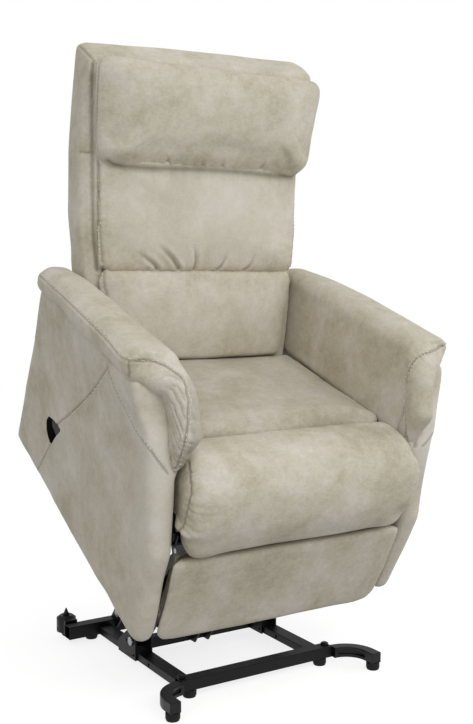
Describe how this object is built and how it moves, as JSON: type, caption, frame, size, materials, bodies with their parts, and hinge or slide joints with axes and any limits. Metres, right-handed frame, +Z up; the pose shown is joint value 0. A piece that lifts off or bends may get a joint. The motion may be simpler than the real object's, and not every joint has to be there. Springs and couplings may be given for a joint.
{
  "type": "lift recliner chair",
  "caption": "Powered lift recliner armchair, shown raised: padded chair body tipped forward on a steel lift base, with reclining back, folding footrest and side handset",
  "frame": {"origin": "on the floor, in the middle of the bounding box of the raised chair", "axes": "+Z up, the sitter faces -Y, +X is the sitter's left"},
  "size_m": [0.796, 0.8301, 1.4259],
  "materials": {
    "upholstery": "brushed microfibre with a leather look",
    "black_steel": "satin powder coat",
    "bright_steel": "zinc plated",
    "black_plastic": "fine texture",
    "rubber_black": "matt",
    "timber": "raw plywood",
    "webbing": "woven",
    "gloss_black": "gloss",
    "keys": "soft key"
  },
  "bodies": {
    "base": {"front_rail": "black_steel", "rear_rail": "black_steel", "side_rail_left": "black_steel", "side_rail_right": "black_steel", "centre_rail": "black_steel", "lift_bracket_left": "black_steel", "lift_bracket_right": "black_steel", "rear_pivot_ears": "black_steel", "front_foot_left": "black_plastic", "front_foot_right": "black_plastic", "foot_plugs": "black_plastic", "floor_pads": "rubber_black", "castor_housing_left": "black_plastic", "castor_housing_right": "black_plastic", "castor_knobs": "black_plastic", "castor_axles": "bright_steel", "base_pivot_bolts": "bright_steel"},
    "castor_left": {"castor_wheel_left": "rubber_black"},
    "castor_right": {"castor_wheel_right": "rubber_black"},
    "lower_arms": {"lower_lift_arms": "black_steel"},
    "upper_arms": {"upper_lift_arms": "black_steel"},
    "lift_drive": {"lift_motor": "black_plastic"},
    "lift_ram": {"lift_rod": "bright_steel"},
    "chassis": {"chassis_plates": "black_steel", "chassis_tubes": "black_steel", "hanger_plates": "black_steel", "hanger_bolts": "bright_steel", "side_panel_left": "upholstery", "side_panel_right": "upholstery", "arm_pad_left": "upholstery", "arm_pad_right": "upholstery", "seat_frame": "timber", "seat_webs": "webbing", "seat_cushion": "upholstery", "seat_roll": "upholstery", "rear_panel": "upholstery", "control_box": "black_plastic", "back_hinge_bolts": "bright_steel"},
    "back": {"back_frame": "black_steel", "back_shell": "upholstery", "lumbar_cushion": "upholstery", "middle_cushion": "upholstery", "headrest_cushion": "upholstery"},
    "recline_drive": {"recline_motor": "black_plastic"},
    "recline_ram": {"recline_rod": "bright_steel"},
    "leg_swing": {"leg_swing_links": "black_steel"},
    "leg_control": {"leg_control_links": "black_steel"},
    "leg_reach": {"leg_reach_links": "black_steel"},
    "leg_upper": {"leg_upper_links": "black_steel"},
    "footrest": {"footrest_brackets": "black_steel", "footrest_board": "timber", "footrest_panel": "upholstery"},
    "handset": {"handset": "gloss_black"},
    "button_raise": {"button_raise": "keys"},
    "button_lower": {"button_lower": "keys"},
    "button_recline": {"button_recline": "keys"},
    "button_upright": {"button_upright": "keys"}
  },
  "joints": [
    {"name": "lift", "type": "hinge", "parent": "base", "child": "lower_arms", "pos_m": [0, 0.0488, 0.055], "axis": [1, 0, 0], "range_deg": [0, 38.94]},
    {"name": "upper_arm_turn", "type": "hinge", "parent": "base", "child": "upper_arms", "pos_m": [0, 0.2318, 0.062], "axis": [1, 0, 0], "range_deg": [0, 31.55]},
    {"name": "chassis_tilt", "type": "hinge", "parent": "lower_arms", "child": "chassis", "pos_m": [0, -0.14705, 0.26211], "axis": [1, 0, 0], "range_deg": [-66.29, 0]},
    {"name": "lift_motor_swing", "type": "hinge", "parent": "base", "child": "lift_drive", "pos_m": [0, 0.0168, 0.072], "axis": [1, 0, 0], "range_deg": [0, 8.73]},
    {"name": "lift_stroke", "type": "slide", "parent": "lift_drive", "child": "lift_ram", "axis": [0, 0.9345, 0.3559], "range_m": [-0.05588, 0]},
    {"name": "recline", "type": "hinge", "parent": "chassis", "child": "back", "pos_m": [0, 0.15452, 0.67096], "axis": [-1, 0, 0], "range_deg": [0, 35]},
    {"name": "recline_motor_swing", "type": "hinge", "parent": "chassis", "child": "recline_drive", "pos_m": [0, -0.06999, 0.46056], "axis": [1, 0, 0], "range_deg": [0, 0.34311]},
    {"name": "recline_stroke", "type": "slide", "parent": "recline_drive", "child": "recline_ram", "axis": [0, 0.8742, 0.4856], "range_m": [-0.04588, 0]},
    {"name": "legrest", "type": "hinge", "parent": "chassis", "child": "leg_swing", "pos_m": [0, -0.14377, 0.42472], "axis": [-1, 0, 0], "range_deg": [0, 114]},
    {"name": "leg_control_turn", "type": "hinge", "parent": "chassis", "child": "leg_control", "pos_m": [0, -0.09848, 0.41546], "axis": [-1, 0, 0], "range_deg": [0, 114.05]},
    {"name": "leg_reach_turn", "type": "hinge", "parent": "leg_swing", "child": "leg_reach", "pos_m": [0, -0.02293, 0.30515], "axis": [-1, 0, 0], "range_deg": [-114.05, 0]},
    {"name": "footrest_turn", "type": "hinge", "parent": "leg_reach", "child": "footrest", "pos_m": [0, -0.21745, 0.26557], "axis": [-1, 0, 0], "range_deg": [0, 89.86]},
    {"name": "leg_upper_turn", "type": "hinge", "parent": "leg_swing", "child": "leg_upper", "pos_m": [0, 0.00456, 0.32384], "axis": [-1, 0, 0], "range_deg": [-117.68, 0]},
    {"name": "left_castor_spin", "type": "hinge", "parent": "base", "child": "castor_left", "pos_m": [0.252, 0.3098, 0.0222], "axis": [1, 0, 0], "continuous": true},
    {"name": "right_castor_spin", "type": "hinge", "parent": "base", "child": "castor_right", "pos_m": [-0.252, 0.3098, 0.0222], "axis": [1, 0, 0], "continuous": true},
    {"name": "handset_slide", "type": "slide", "parent": "chassis", "child": "handset", "axis": [-0.1392, 0.5595, 0.8171], "range_m": [0, 0.009]},
    {"name": "press_raise", "type": "slide", "parent": "handset", "child": "button_raise", "axis": [0.9903, 0.0786, 0.1148], "range_m": [0, 0.0012], "stiffness_N_per_m": 900, "springref_m": -0.0008},
    {"name": "press_lower", "type": "slide", "parent": "handset", "child": "button_lower", "axis": [0.9903, 0.0786, 0.1148], "range_m": [0, 0.0012], "stiffness_N_per_m": 900, "springref_m": -0.0008},
    {"name": "press_recline", "type": "slide", "parent": "handset", "child": "button_recline", "axis": [0.9903, 0.0786, 0.1148], "range_m": [0, 0.0012], "stiffness_N_per_m": 900, "springref_m": -0.0008},
    {"name": "press_upright", "type": "slide", "parent": "handset", "child": "button_upright", "axis": [0.9903, 0.0786, 0.1148], "range_m": [0, 0.0012], "stiffness_N_per_m": 900, "springref_m": -0.0008}
  ],
  "couplings": [
    {"joint": "upper_arm_turn", "follows": "lift", "ratio": 0.80882},
    {"joint": "chassis_tilt", "follows": "lift", "ratio": -1.7011},
    {"joint": "lift_motor_swing", "follows": "lift", "ratio": 0.22298},
    {"joint": "lift_stroke", "follows": "lift", "m_per_rad": -0.081931},
    {"joint": "recline_motor_swing", "follows": "recline", "ratio": 0.008375},
    {"joint": "recline_stroke", "follows": "recline", "m_per_rad": -0.074783},
    {"joint": "leg_control_turn", "follows": "legrest", "ratio": 1},
    {"joint": "leg_reach_turn", "follows": "legrest", "ratio": -1},
    {"joint": "footrest_turn", "follows": "legrest", "ratio": 0.78785},
    {"joint": "leg_upper_turn", "follows": "legrest", "ratio": -1.0318}
  ]
}
